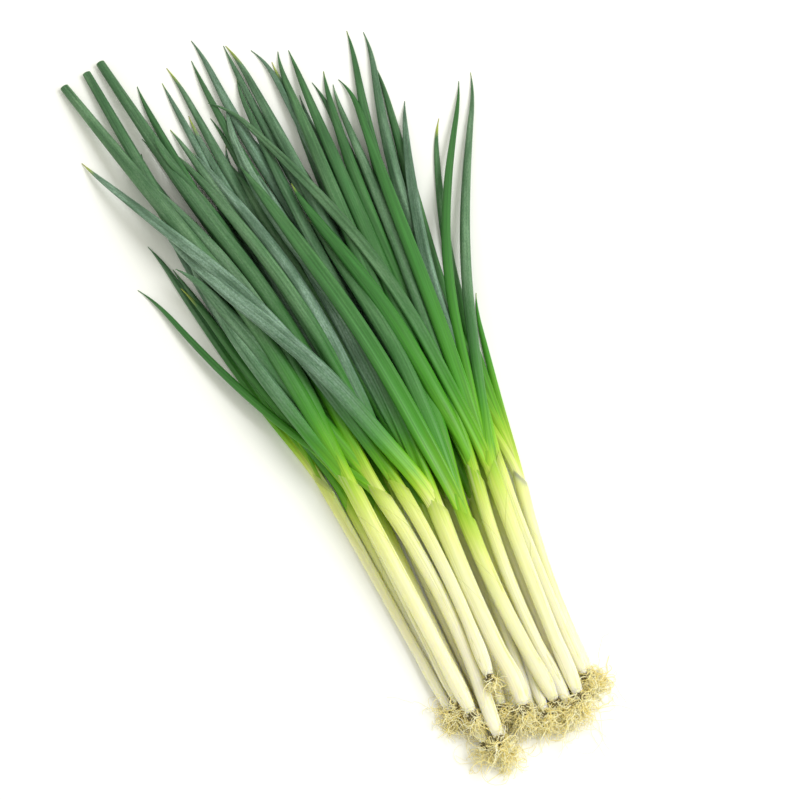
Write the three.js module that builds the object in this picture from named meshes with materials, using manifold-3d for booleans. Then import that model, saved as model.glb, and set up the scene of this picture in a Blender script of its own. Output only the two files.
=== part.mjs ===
// A bunch of spring onions lying on a table: twenty plants in three loose layers, roots towards -Y and
// leaf tips towards +Y. Each plant is three solids: its pale shaft, the fan of leaves that grows out of
// the shaft's neck, and the tuft of roots under its foot. The plants are laid down one after another and
// settle on the table and on each other, so that they touch nearly everywhere and overlap nowhere.
// Millimetres, +Z up, origin on the table under the middle of the bunch.
import * as THREE from "three";
import { mergeVertices } from "three/addons/utils/BufferGeometryUtils.js";
import Module from "manifold-3d";

const { clamp, lerp, seededRandom } = THREE.MathUtils;

// ---- Driving dimensions -----------------------------------------------------------------------------
const PRESSED = 0.75; // height of a section over its width, as the pile's weight presses every plant
const FLATTENED = 0.1; // a plant that lies on the table is flat there by this share of its radius
const CLEARANCE = 0.5; // free space between two plants
const SEED = 7;

const SHAFT_STATIONS = [0, 0.045, 0.27, 0.52, 0.77, 1]; // sections of a shaft, foot to neck
const SHAFT_SWELL = [0.6, 0.86, 0.9, 0.93, 0.98, 1.06]; // their radii over the shaft's radius
const CROWN_SWELL = 0.6; // and that of the crown, the hard plate under the foot
const CROWN_LENGTH = (girth) => 1.5 + 0.45 * girth;

const LEAF_STEP = 33; // length of leaf between two sections
const LEAF_BASE = 0.68; // a leaf's width where it leaves the sheath, over its full width
const LEAF_TAPER = 4.5; // how late a leaf runs out: 1 is a straight taper
const COLLAR = [[0.4, 0.5], [9, 0.45], [20, 0.2]]; // the sheath's [distance from the neck, radius over girth]

const ROOTS = 7; // roots of each plant
const ROOT_FAN = 2.1; // the angle they fan out over, in radians
const ROOT_REACH = [10, 22]; // their shortest and longest length
const ROOT_RADII = [0.7, 0.7, 0.65, 0];

const SIDES = { shaft: 8, leaf: 5, root: 3 }; // sides of a section
const GAP = 0.4; // free space between the solids of one plant

// ---- The plants, bottom layer first -----------------------------------------------------------------
// foot and neck: where the shaft starts and where the leaves part, [x, y] on the table. bow: how far the
// shaft bends sideways. girth: the shaft's width. leaves: the leaves that can be told apart, lowest first.
// Each line has the leaf's width, the points that it passes and its tip; CUT is a leaf whose end was
// trimmed off square. more: how many leaves the rule after this list adds under them.
const CUT = "cut";
const PLANTS = [
  { foot: [5, -170], neck: [-17, -30], girth: 5, more: 2, leaves: [
    [6, [-38, 30], [-54, 88], [-64, 128]],
    [6.5, [-26, 10], [-57, 110]],
    [7, [-30, 60], [-56, 154]],
  ] },
  { foot: [9, -167], neck: [-11, -46], girth: 5.5, more: 3, leaves: [] },
  { foot: [17, -190], neck: [2, -54], girth: 7, more: 3, leaves: [] },
  { foot: [22, -194], neck: [13, -58], girth: 7, more: 4, leaves: [] },
  { foot: [35, -178], neck: [24, -62], girth: 7.5, more: 4, leaves: [] },
  { foot: [49, -184], neck: [40, -62], girth: 7.5, more: 4, leaves: [] },
  { foot: [77, -173], neck: [79, -60], bow: -3, girth: 5.5, more: 0, leaves: [
    [7, [71, 20], [77, 90], [86, 199]],
    [6, [70, 20], [75, 100], [82, 191]],
    [6, [75, 15], [84, 80], [105, 156]],
    [4, [78, -15], [90, 47]],
  ] },
  { foot: [11, -168], neck: [-6, -44], girth: 6, more: 1, leaves: [
    [8, [-22, 20], [-48, 136], [-69, 242], CUT],
    [6.5, [-24, 20], [-54, 95]],
    [8, [-20, 40], [-32, 130], [-46, 226]],
  ] },
  { foot: [27, -176], neck: [26, -64], girth: 6, more: 1, leaves: [
    [7.5, [4, 40], [-16, 130], [-31, 224]],
    [7.5, [8, 40], [-8, 130], [-24, 233]],
    [7, [12, 20], [-24, 199]],
  ] },
  { foot: [45, -181], neck: [44, -64], girth: 5.5, more: 1, leaves: [
    [7.5, [20, 40], [-3, 150], [-12, 233]],
    [8.5, [23, 40], [3, 140], [-6, 246]],
    [7, [24, 20], [7, 216]],
  ] },
  { foot: [48, -186], neck: [53, -62], girth: 5.5, more: 1, leaves: [
    [7.5, [32, 40], [16, 140], [8, 237]],
    [8.5, [35, 40], [25, 140], [12, 237]],
    [7, [39, 40], [33, 207]],
  ] },
  { foot: [63, -178], neck: [60, -62], girth: 7, more: 1, leaves: [
    [7.5, [46, 40], [38, 140], [27, 230]],
    [6.5, [50, 40], [28, 218]],
    [7.5, [55, 60], [51, 199]],
  ] },
  { foot: [23, -192], neck: [6, -48], bow: 6, girth: 7, more: 0, leaves: [
    [8.5, [-8, 20], [-34, 130], [-60, 246], CUT],
    [7, [-4, 30], [-22, 110], [-50, 185]],
    [9, [-4, -10], [-25, 34], [-52, 101]],
    [4.5, [-10, -22], [-30, 6], [-55, 51], [-75, 105]],
  ] },
  { foot: [73, -173], neck: [67, -50], girth: 6, more: 1, leaves: [
    [7.5, [67, 40], [72, 140], [88, 221]],
    [7.5, [63, 40], [65, 140], [78, 225]],
    [7, [66, 20], [76, 110], [92, 172]],
    [3.6, [66, -12], [70, 5]],
  ] },
  { foot: [15, -175], neck: [-7, -42], girth: 8, more: 0, leaves: [
    [8.5, [-16, 20], [-38, 90], [-60, 160], [-83, 237], CUT],
    [7.5, [-20, 30], [-47, 123]],
    [7.5, [-14, 30], [-38, 110], [-58, 163]],
  ] },
  { foot: [28, -163], neck: [17, -50], bow: 3, girth: 7, more: 0, leaves: [
    [7.5, [2, 20], [-16, 90], [-34, 194]],
    [7.5, [-2, 40], [-20, 110], [-40, 182]],
    [8, [4, 20], [-14, 80], [-28, 174]],
    [7.5, [-6, 8], [-28, 66], [-51, 118], [-87, 188]],
  ] },
  { foot: [36, -181], neck: [31, -66], bow: -2, girth: 9, more: 0, leaves: [
    [8, [16, 10], [0, 70], [-12, 169]],
    [9, [10, 0], [-24, 62], [-58, 133]],
    [9, [22, 0], [8, 50], [-8, 110], [-5, 198]],
    [8, [26, 0], [14, 60], [2, 153]],
  ] },
  { foot: [54, -182], neck: [44, -76], bow: -3, girth: 8, more: 0, leaves: [
    [8.5, [38, 0], [33, 70], [36, 150], [33, 224]],
    [8.5, [43, 0], [42, 70], [42, 223]],
    [11, [36, -12], [20, 40], [4, 100], [-6, 153]],
    [8, [44, -20], [30, 40], [20, 110]],
  ] },
  { foot: [59, -186], neck: [57, -54], bow: -4, girth: 6.5, more: 0, leaves: [
    [8, [52, 40], [48, 120], [55, 204]],
    [7, [57, 20], [60, 120], [57, 194]],
    [9, [48, -20], [36, 18], [22, 70], [14, 132]],
    [5, [49, 5], [41, 72]],
  ] },
  { foot: [66, -183], neck: [62, -56], girth: 7.5, more: 0, leaves: [
    [7.5, [61, 30], [64, 120], [68, 196]],
    [6.5, [59, 0], [50, 54], [28, 123], [-4, 204]],
    [5.5, [62, 5], [69, 49], [88, 96], [127, 174]],
    [5.5, [68, -10], [80, 39], [105, 107], [136, 177]],
    [5, [59, 0], [52, 72]],
  ] },
];

// Leaves added by rule fill the fan that the bunch opens into: share 0 of it runs up the left edge, and
// share 1 up the right edge.
const fanLeft = (y) => -27 - 0.24 * y;
const fanRight = (y) => 83 + 0.01 * y;
const fanX = (share, y) => lerp(fanLeft(y), fanRight(y), share);
const ADDED_WIDTH = [6, 7.5];
const ADDED_TIP = [125, 195]; // how far up the bunch such a leaf ends
const ADDED_SPREAD = 0.1; // share of the fan between two such leaves of a plant

seededRandom(SEED);
const random = (low, high) => lerp(low, high, seededRandom());

function addedLeaves(plant) {
  const [x, y] = plant.neck;
  const share = (x - fanLeft(y)) / (fanRight(y) - fanLeft(y));
  return Array.from({ length: plant.more }, (_, i) => {
    const spread = (i - (plant.more - 1) / 2) * ADDED_SPREAD + random(-0.03, 0.03);
    const at = clamp(share + spread, 0.06, 0.94);
    const tip = random(...ADDED_TIP);
    const middle = 0.45 * tip;
    return [random(...ADDED_WIDTH), [fanX(at, middle), middle], [fanX(at, tip), tip]];
  });
}

// ---- Strands: every shaft, leaf and root is a line of sections, each with a radius --------------------
const LAID_FROM = 34; // each plant starts this much above the one laid before it
const LEAF_LIFT = 7; // and each of its leaves this much above the one before

const points = []; // the centre of every section
const aims = []; // where each centre would lie, seen from above
const strands = [];

function addPoint(x, y, z) {
  points.push(new THREE.Vector3(x, y, z));
  aims.push(new THREE.Vector2(x, y));
  return points.length - 1;
}

// A shaft's line starts with the end of its crown, which the roots grow from.
function addShaft(plant, order) {
  const foot = new THREE.Vector2(...plant.foot);
  const neck = new THREE.Vector2(...plant.neck);
  const back = foot.clone().sub(neck).normalize();
  const z = LAID_FROM * order + plant.girth;
  const end = foot.clone().addScaledVector(back, CROWN_LENGTH(plant.girth));
  const crown = addPoint(end.x, end.y, z);
  const sections = SHAFT_STATIONS.map((s) => {
    const p = foot.clone().lerp(neck, s);
    return addPoint(p.x + (plant.bow ?? 0) * Math.sin(Math.PI * s), p.y, z);
  });
  const radii = [CROWN_SWELL, ...SHAFT_SWELL].map((swell) => (swell * plant.girth) / 2);
  strands.push({ plant: order, kind: "shaft", sections: [crown, ...sections], radii });
  return { neck: sections.at(-1), crown, back };
}

// Roots leave the crown fanwise, wander and curl, and run out thin.
function addRoots(order, crown, back) {
  for (let i = 0; i < ROOTS; i++) {
    let heading = Math.atan2(back.y, back.x) + ((i + 0.5) / ROOTS - 0.5) * ROOT_FAN + random(-0.2, 0.2);
    const step = random(...ROOT_REACH) / (ROOT_RADII.length - 1);
    const curl = random(-0.45, 0.45);
    const p = points[crown].clone();
    const sections = [crown];
    while (sections.length < ROOT_RADII.length) {
      p.x += step * Math.cos(heading);
      p.y += step * Math.sin(heading);
      p.z += random(-2, 2);
      heading += curl + random(-0.35, 0.35);
      sections.push(addPoint(p.x, p.y, p.z));
    }
    strands.push({ plant: order, kind: "root", sections, radii: ROOT_RADII });
  }
}

// A leaf swells out of the sheath, keeps its width for half its length and runs out to a point. A cut
// leaf ends before that.
function leafRadius(t, width, cut) {
  const along = cut ? 0.72 * t : t;
  return (width / 2) * Math.min(1, LEAF_BASE + 1.6 * t) * (1 - along ** LEAF_TAPER) ** 0.8;
}

function addLeaf(plant, order, leaf, index, neck) {
  const cut = leaf.at(-1) === CUT;
  const [width, ...passed] = cut ? leaf.slice(0, -1) : leaf;
  const way = passed.map((p) => new THREE.Vector3(...p, 0));
  const start = new THREE.Vector3(...plant.neck, 0);
  const ahead = start.clone().sub(new THREE.Vector3(...plant.foot, 0)).normalize();
  const straight = Math.min(14, 0.3 * start.distanceTo(way[0]));
  const curve = new THREE.CatmullRomCurve3([start, start.clone().addScaledVector(ahead, straight), ...way]);
  const steps = Math.max(4, Math.round(curve.getLength() / LEAF_STEP));
  const sections = [neck];
  for (let i = 1; i <= steps; i++) {
    const p = curve.getPointAt(i / steps);
    sections.push(addPoint(p.x, p.y, points[neck].z + Math.min(1, i / 3) * LEAF_LIFT * index));
  }
  const radii = sections.map((_, i) => leafRadius(i / steps, width, cut));
  strands.push({ plant: order, kind: "leaf", sections, radii });
}

PLANTS.forEach((plant, order) => {
  const { neck, crown, back } = addShaft(plant, order);
  addRoots(order, crown, back);
  [...addedLeaves(plant), ...plant.leaves].forEach((leaf, i) => addLeaf(plant, order, leaf, i, neck));
});

// ---- Settling: the plants sink on to the table and on to each other -----------------------------------
const SINKING = { steps: 380, drop: 2.4 }; // drop: how far every section falls in a step
const RESTING = { steps: 80, drop: 0.25 };
const SWEEPS = 4; // times that the contacts are mended in a step
const RENEWED = 5; // steps after which the list of near pairs is made again
const NEAR = 13; // distance that makes a pair near
const STRAIGHT = 0.35; // how strongly a section is drawn into line with its neighbours
const PULL = 0.3; // how strongly it is drawn back to its aim, seen from above
const UPPER_SHARE = 0.8; // how much of a push the upper strand of a pair takes
const CLOSE_ENOUGH = 0.02; // the clearance may be this much short in the end

// Every stretch between two sections. The sheath round a leaf's first stretch is as thick as the neck.
const stretches = strands.flatMap((strand) =>
  strand.sections.slice(1).map((b, i) => ({
    strand,
    i,
    a: strand.sections[i],
    b,
    ra: strand.kind === "leaf" && i === 0 ? COLLAR[0][1] * PLANTS[strand.plant].girth : strand.radii[i],
    rb: strand.radii[i + 1],
  })),
);

// Within a plant, leaves are fused over their first two stretches, and roots over their first, where
// they also leave the crown. A shaft never meets its own leaves.
function mayTouch(p, q) {
  if (p.strand.plant !== q.strand.plant) return true;
  if (p.strand === q.strand) return false;
  const leaves = [p, q].filter((stretch) => stretch.strand.kind === "leaf").length;
  return leaves !== 1 && Math.max(p.i, q.i) > (leaves ? 1 : 0);
}

function nearPairs(margin) {
  const boxes = stretches.map(({ a, b, ra, rb }) => {
    const box = new THREE.Box3().setFromPoints([points[a], points[b]]);
    return box.expandByScalar(Math.max(ra, rb) + margin / 2);
  });
  const pairs = [];
  for (let p = 0; p < stretches.length; p++) {
    for (let q = p + 1; q < stretches.length; q++) {
      if (!boxes[p].intersectsBox(boxes[q])) continue;
      if (mayTouch(stretches[p], stretches[q])) pairs.push([stretches[p], stretches[q]]);
    }
  }
  return pairs;
}

const first = new THREE.Vector3();
const second = new THREE.Vector3();
const between = new THREE.Vector3();

// The nearest points of two stretches, as shares s and t of their lengths. between then runs from the
// first's point to the second's.
function nearest(p, q) {
  first.subVectors(points[p.b], points[p.a]);
  second.subVectors(points[q.b], points[q.a]);
  between.subVectors(points[p.a], points[q.a]);
  const pp = first.dot(first);
  const qq = second.dot(second);
  const pq = first.dot(second);
  const pb = first.dot(between);
  const qb = second.dot(between);
  const det = pp * qq - pq * pq;
  let s = det > 1e-9 ? clamp((pq * qb - pb * qq) / det, 0, 1) : 0.5;
  let t = (pq * s + qb) / qq;
  if (t < 0 || t > 1) {
    t = clamp(t, 0, 1);
    s = clamp((pq * t - pb) / pp, 0, 1);
  }
  between.copy(points[q.a]).addScaledVector(second, t).sub(points[p.a]).addScaledVector(first, -s);
  return [s, t];
}

// Moves the point at share s of a stretch by the vector between, times scale.
function shift(stretch, s, scale) {
  const share = scale / (s * s + (1 - s) * (1 - s));
  points[stretch.a].addScaledVector(between, (1 - s) * share);
  points[stretch.b].addScaledVector(between, s * share);
}

// Moves a pair apart to its clearance, and returns how much it was short.
function moveApart(p, q, upperShare) {
  const [s, t] = nearest(p, q);
  const wanted = lerp(p.ra, p.rb, s) + lerp(q.ra, q.rb, t) + CLEARANCE;
  const distance = between.length();
  if (distance >= wanted) return 0;
  between.multiplyScalar((wanted - distance) / Math.max(distance, 1e-6));
  shift(q, t, upperShare);
  shift(p, s, upperShare - 1);
  return wanted - distance;
}

// Draws each section into line with its neighbours, but for the bend that the strand was given.
function straighten({ sections }) {
  for (let i = 1; i < sections.length - 1; i++) {
    const [before, at, after] = [sections[i - 1], sections[i], sections[i + 1]];
    const bendX = aims[at].x - (aims[before].x + aims[after].x) / 2;
    const bendY = aims[at].y - (aims[before].y + aims[after].y) / 2;
    points[at].x += STRAIGHT * ((points[before].x + points[after].x) / 2 + bendX - points[at].x);
    points[at].y += STRAIGHT * ((points[before].y + points[after].y) / 2 + bendY - points[at].y);
    points[at].z += STRAIGHT * ((points[before].z + points[after].z) / 2 - points[at].z);
  }
}

function liftToTable() {
  for (const { sections, radii, kind } of strands) {
    const flatSide = Math.cos(Math.PI / SIDES[kind]) - FLATTENED;
    sections.forEach((p, i) => {
      points[p].z = Math.max(points[p].z, radii[i] * flatSide);
    });
  }
}

function settle({ steps, drop }) {
  let pairs = [];
  for (let step = 0; step < steps; step++) {
    points.forEach((p, i) => {
      p.x += PULL * (aims[i].x - p.x);
      p.y += PULL * (aims[i].y - p.y);
      p.z -= drop;
    });
    if (step % RENEWED === 0) pairs = nearPairs(NEAR);
    for (let sweep = 0; sweep < SWEEPS; sweep++) {
      strands.forEach(straighten);
      liftToTable();
      pairs.forEach(([p, q]) => moveApart(p, q, UPPER_SHARE));
    }
  }
}

// Mends every pair that is still too close where it lies.
function clearContacts() {
  let short = Infinity;
  while (short > CLOSE_ENOUGH) {
    const pairs = nearPairs(NEAR / 2);
    for (let sweep = 0; sweep < RENEWED; sweep++) {
      liftToTable();
      short = Math.max(...pairs.map(([p, q]) => moveApart(p, q, 0.5)));
    }
  }
}

settle(SINKING);
settle(RESTING);
clearContacts();

// ---- Solids -------------------------------------------------------------------------------------------
const wasm = await Module();
wasm.setup();

function solid(geometry) {
  geometry.deleteAttribute("normal");
  geometry.deleteAttribute("uv");
  const merged = mergeVertices(geometry, 1e-4);
  return new wasm.Manifold(
    new wasm.Mesh({
      numProp: 3,
      vertProperties: merged.attributes.position.array,
      triVerts: new Uint32Array(merged.index.array),
    }),
  );
}

// A cylinder bent along a line of centres, with a radius at each. A last radius of 0 makes a point. One
// side faces the table, and nothing reaches below it.
function tube(centres, radii, sides) {
  const steps = centres.length - 1;
  const geometry = new THREE.CylinderGeometry(radii.at(-1) > 0 ? 1 : 0, 1, 1, sides, steps);
  const position = geometry.attributes.position;
  const turn = sides % 2 ? 0 : Math.PI / sides;
  const frames = centres.map((_, i) => {
    const ahead = centres[Math.min(i + 1, steps)].clone().sub(centres[Math.max(i - 1, 0)]).normalize();
    const side = new THREE.Vector3(ahead.y, -ahead.x, 0).normalize();
    return { side, top: side.clone().cross(ahead) };
  });
  for (let v = 0; v < position.count; v++) {
    const i = Math.round((position.getY(v) + 0.5) * steps);
    const x = position.getX(v);
    const z = position.getZ(v);
    const radius = Math.hypot(x, z) > 1e-6 ? radii[i] : 0;
    const angle = Math.atan2(z, x) + turn;
    const p = centres[i].clone();
    p.addScaledVector(frames[i].side, radius * Math.cos(angle));
    p.addScaledVector(frames[i].top, radius * Math.sin(angle));
    position.setXYZ(v, p.x, p.y, Math.max(0, PRESSED * p.z));
  }
  return solid(geometry);
}

const bunch = new THREE.Group();

function addNode(name, manifold, color, roughness) {
  const { vertProperties, triVerts } = manifold.getMesh();
  const geometry = new THREE.BufferGeometry();
  geometry.setAttribute("position", new THREE.BufferAttribute(new Float32Array(vertProperties), 3));
  geometry.setIndex(new THREE.BufferAttribute(new Uint32Array(triVerts), 1));
  geometry.computeVertexNormals();
  const mesh = new THREE.Mesh(geometry, new THREE.MeshStandardMaterial({ color, roughness, metalness: 0 }));
  mesh.name = name;
  bunch.add(mesh);
}

const centresOf = (strand) => strand.sections.map((i) => points[i].clone());

// Places beyond an end of the shaft, at the given distances.
const beyond = (end, inner, distances) => {
  const out = end.clone().sub(inner).normalize();
  return distances.map((distance) => end.clone().addScaledVector(out, distance));
};

function leafFan(leaves, neck, below, girth) {
  const collarAt = beyond(neck, below, COLLAR.map(([distance]) => distance));
  const collar = tube(collarAt, COLLAR.map(([, share]) => share * girth), SIDES.shaft);
  return leaves.reduce((fan, leaf) => {
    const [, ...outer] = centresOf(leaf);
    const [start] = beyond(neck, below, [3]);
    return fan.add(tube([start, ...outer], leaf.radii, SIDES.leaf));
  }, collar);
}

function rootTuft(roots, crown, foot, above, girth) {
  const plateAt = [...beyond(foot, above, [GAP, 4 * GAP]), crown];
  const plate = tube(plateAt, [0.38, 0.38, 0.3].map((share) => share * girth), SIDES.shaft);
  return roots.reduce((tuft, root) => {
    const [end, ...outer] = centresOf(root);
    const start = end.clone().lerp(foot, 0.3);
    return tuft.add(tube([start, ...outer], root.radii, SIDES.root));
  }, plate);
}

PLANTS.forEach(({ girth }, order) => {
  const number = String(order + 1).padStart(2, "0");
  const own = (kind) => strands.filter((s) => s.plant === order && s.kind === kind);
  const [shaft] = own("shaft");
  const [crown, ...centres] = centresOf(shaft);
  addNode("shaft_" + number, tube(centres, shaft.radii.slice(1), SIDES.shaft), 0xeef0cc, 0.4);
  addNode("leaves_" + number, leafFan(own("leaf"), centres.at(-1), centres.at(-2), girth), 0x3f7a45, 0.5);
  addNode("roots_" + number, rootTuft(own("root"), crown, centres[0], centres[1], girth), 0xc2a468, 0.85);
});

// The origin lies on the table under the middle of the bunch.
const middle = new THREE.Box3().setFromObject(bunch).getCenter(new THREE.Vector3());
bunch.position.set(-middle.x, -middle.y, 0);

export default bunch;
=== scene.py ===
# %% [markdown]
# # A bunch of spring onions
# Twenty spring onions lie in a loose pile, roots towards you and leaf tips away. Each plant has three
# pieces of its own: a white shaft, which is a roll of leaf sheaths, a fan of hollow green leaves, and a
# tuft of fine roots under a dark, soily crown. The frame already says where each of them lies. This
# lesson models one shaft, one leaf, one root and one crown by hand, lays copies of them along the
# frame's own lines, and gives each its finish.

# %% Load the frame
import math

import bmesh
import bpy
import numpy as np
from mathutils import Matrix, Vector


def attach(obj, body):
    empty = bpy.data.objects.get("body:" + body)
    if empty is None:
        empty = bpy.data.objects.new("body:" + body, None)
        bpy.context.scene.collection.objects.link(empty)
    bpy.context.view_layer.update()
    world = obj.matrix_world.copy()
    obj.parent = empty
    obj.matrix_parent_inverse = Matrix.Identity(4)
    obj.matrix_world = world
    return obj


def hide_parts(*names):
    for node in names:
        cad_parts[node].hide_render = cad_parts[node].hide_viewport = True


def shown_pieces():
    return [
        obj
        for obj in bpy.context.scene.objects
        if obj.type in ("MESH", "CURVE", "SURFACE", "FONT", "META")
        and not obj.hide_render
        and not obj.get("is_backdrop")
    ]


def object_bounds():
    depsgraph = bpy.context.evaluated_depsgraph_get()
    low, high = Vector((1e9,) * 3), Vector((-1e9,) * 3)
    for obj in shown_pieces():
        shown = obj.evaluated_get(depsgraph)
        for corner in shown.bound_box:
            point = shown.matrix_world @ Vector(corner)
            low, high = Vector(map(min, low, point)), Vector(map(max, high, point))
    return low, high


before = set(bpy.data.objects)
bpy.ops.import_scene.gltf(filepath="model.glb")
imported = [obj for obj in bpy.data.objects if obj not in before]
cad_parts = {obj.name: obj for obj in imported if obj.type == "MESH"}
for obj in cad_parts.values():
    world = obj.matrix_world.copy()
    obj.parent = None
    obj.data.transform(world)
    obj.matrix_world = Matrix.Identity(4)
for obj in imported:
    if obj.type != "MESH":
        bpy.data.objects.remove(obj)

MM = 0.001
cad_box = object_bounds()
bpy.ops.object.select_all(action="DESELECT")
PLANTS = sorted(name[-2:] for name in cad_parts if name.startswith("shaft_"))
print("plants:", len(PLANTS))
print("the bunch measures, in mm:", [round(c / MM) for c in cad_box[1] - cad_box[0]])

# %% [markdown]
# ## Camera, floor and light
# The camera looks down on the bunch from its root end, a little from the left, with a long lens, so that
# near and far plants keep their proportions. The floor is a plain white board. One big soft lamp stands
# on the right, as a window would, so the bunch throws a wide, faint shadow to the left. The cream walls
# of the room around it fill in the rest, and warm the shadow.

# %% Camera
AZIMUTH = math.radians(-18)
ELEVATION = math.radians(65)
DISTANCE = 1.3  # m
LENS = 113.8  # mm, which fills the frame with the bunch from that far
TARGET = Vector((0.0079, -0.021, 0.015))


def direction(azimuth, elevation):
    """From the bunch towards a place at that azimuth and height."""
    level = math.cos(elevation)
    return Vector((math.sin(azimuth) * level, -math.cos(azimuth) * level, math.sin(elevation)))


bpy.ops.object.camera_add(location=TARGET + DISTANCE * direction(AZIMUTH, ELEVATION))
camera = bpy.context.object
camera.rotation_euler = direction(AZIMUTH, ELEVATION).to_track_quat("Z", "Y").to_euler()
camera.data.lens = LENS
bpy.context.scene.camera = camera
print("camera at, in mm:", [round(c / MM) for c in camera.location])


# %% Colours and nodes
def srgb(code):
    """A colour such as "#3f7a45" as the linear numbers that shaders take."""
    parts = [int(code[i : i + 2], 16) / 255 for i in (1, 3, 5)]
    return (*[c / 12.92 if c < 0.04045 else ((c + 0.055) / 1.055) ** 2.4 for c in parts], 1.0)


def new_material(name):
    """An empty material, ready for nodes."""
    material = bpy.data.materials.new(name)
    material.use_nodes = True
    material.node_tree.nodes.clear()
    return material


def add(material, kind, sockets=None, settings=None, stops=None, out=0):
    """Adds a node with its settings, its ramp's stops and what goes into its sockets. Gives an output.

    A socket is given by its name, or by its number where two have the same name.
    """
    tree = material.node_tree
    made = tree.nodes.new("ShaderNode" + kind)
    for name, value in (settings or {}).items():
        setattr(made, name, value)
    for i, (place, colour) in enumerate(stops or []):
        stop = made.color_ramp.elements[i] if i < 2 else made.color_ramp.elements.new(place)
        stop.position = place
        stop.color = srgb(colour)
    for socket, value in (sockets or {}).items():
        if isinstance(value, bpy.types.NodeSocket):
            tree.links.new(value, made.inputs[socket])
        else:
            made.inputs[socket].default_value = value
    return made.outputs[out] if len(made.outputs) else None


# A Mix node of colours takes its share on one socket, and the colours under and over it on two others.
SHARE, UNDER, OVER = 0, 6, 7
MIXED = 2  # the output with the mixed colour
COLOURS = {"data_type": "RGBA"}
TIMES = {"operation": "MULTIPLY"}
PLUS = {"operation": "ADD"}
LESS = {"operation": "SUBTRACT"}
TIMES_PLUS = {"operation": "MULTIPLY_ADD"}

# %% Floor and light
# White melamine board: a smooth, dull white.
board = new_material("white melamine board")
board_shader = add(board, "BsdfPrincipled", {"Base Color": srgb("#fbfbf9"), "Roughness": 0.6})
add(board, "OutputMaterial", {"Surface": board_shader})

FLOOR_SIZE = 6
FLOOR_DEPTH = 0.0002  # just under the bunch, so that no two faces share a place
bpy.ops.mesh.primitive_plane_add(size=FLOOR_SIZE, location=(0, 0, -FLOOR_DEPTH))
floor = bpy.context.object
floor.name = "floor"
floor.data.materials.append(board)
floor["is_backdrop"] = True

LAMP_AZIMUTH = math.radians(78)
LAMP_ELEVATION = math.radians(52)
LAMP_DISTANCE = 2.4  # m
LAMP_SIZE = 1.3  # m across
LAMP_POWER = 36  # watts
ROOM_LIGHT = 0.78  # strength of the light from all sides
ROOM_COLOUR = "#fffff3"
toward_lamp = direction(LAMP_AZIMUTH, LAMP_ELEVATION)
bpy.ops.object.light_add(type="AREA", location=TARGET + LAMP_DISTANCE * toward_lamp)
lamp = bpy.context.object
lamp.rotation_euler = toward_lamp.to_track_quat("Z", "Y").to_euler()
lamp.data.shape = "DISK"
lamp.data.size = LAMP_SIZE
lamp.data.energy = LAMP_POWER

world = bpy.data.worlds.new("cream room")
world.use_nodes = True
world.node_tree.nodes["Background"].inputs["Color"].default_value = srgb(ROOM_COLOUR)
world.node_tree.nodes["Background"].inputs["Strength"].default_value = ROOM_LIGHT
bpy.context.scene.world = world
bpy.context.scene.view_settings.view_transform = "Standard"
print("lamp at, in mm:", [round(c / MM) for c in lamp.location])

# %% [markdown]
# ## Reading the lines of the plants
# In the frame every shaft, leaf and root is a plain tube of a few flat-sided rings. Its mesh is loose
# triangles, so a copy of its corners is merged first. From the tip of a tube the rings can then be
# walked one by one: the neighbours of the tip are the last ring, their neighbours are the ring before
# it, and so on, until the tube runs into the others. Each ring gives one section of the plant, as its
# middle and its radius. A line of such sections is called a strand here, with the tip last.

# %% Strands
PRESSED = 0.75  # height of a section over its width
RING_SIDES = {"shaft": 8, "leaves": 5, "roots": 3}
THICKEST = 7 * MM
CAP = 2 * MM  # a tip that lies closer than this to the middle of its ring is the flat end of a cut tube
SHORTEST = 3  # sections; what is shorter is a corner where tubes run into each other
CLOSE = 0.001 * MM  # corners that are this close are one


def welded(name):
    """The corners of a frame node, merged, and for each of them the set of its neighbours."""
    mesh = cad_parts[name].data
    corners = np.array([v.co for v in mesh.vertices])
    rounded = np.round(corners / CLOSE)
    _, first, index = np.unique(rounded, axis=0, return_index=True, return_inverse=True)
    index = index.reshape(-1)
    near = [set() for _ in first]
    for polygon in mesh.polygons:
        trio = {int(index[v]) for v in polygon.vertices}
        for corner in trio:
            near[corner] |= trio - {corner}
    return corners[first], near


def section(points):
    """The middle and the radius of a ring, as x, y, z, radius."""
    middle = points.mean(axis=0)
    out = (points - middle) / (1, 1, PRESSED)
    return np.append(middle, np.linalg.norm(out, axis=1).max())


def walk(tip, near, corners, sides):
    """The sections of a strand from its first free ring to its tip."""
    ring = near[tip]
    used = {tip}
    found = []
    while len(ring) == sides:
        found.insert(0, section(corners[list(ring)]))
        used |= ring
        ring = set().union(*(near[i] for i in ring)) - used
    return np.array(found)


def strands(kind, plant):
    """Every strand of a node. A pointed one ends in a section of radius 0, a cut one in its last ring."""
    corners, near = welded(f"{kind}_{plant}")
    sides = RING_SIDES[kind]
    found = []
    for tip in range(len(corners)):
        if len(near[tip]) != sides:
            continue
        strand = walk(tip, near, corners, sides)
        if strand[-1, 3] > THICKEST:
            continue
        strand = strand[strand[:, 3] < THICKEST]
        if np.linalg.norm(strand[-1, :3] - corners[tip]) > CAP:
            strand = np.vstack([strand, np.append(corners[tip], 0)])
        if len(strand) >= SHORTEST:
            found.append(strand)
    return found


shaft_strands = {}
leaf_strands = {}
root_strands = {}
for plant in PLANTS:
    shaft_strands[plant] = max(strands("shaft", plant), key=lambda strand: strand[-1, 1])
    leaf_strands[plant] = strands("leaves", plant)
    root_strands[plant] = strands("roots", plant)
print("leaves found:", sum(len(found) for found in leaf_strands.values()))
print("roots found:", sum(len(found) for found in root_strands.values()))

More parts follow.
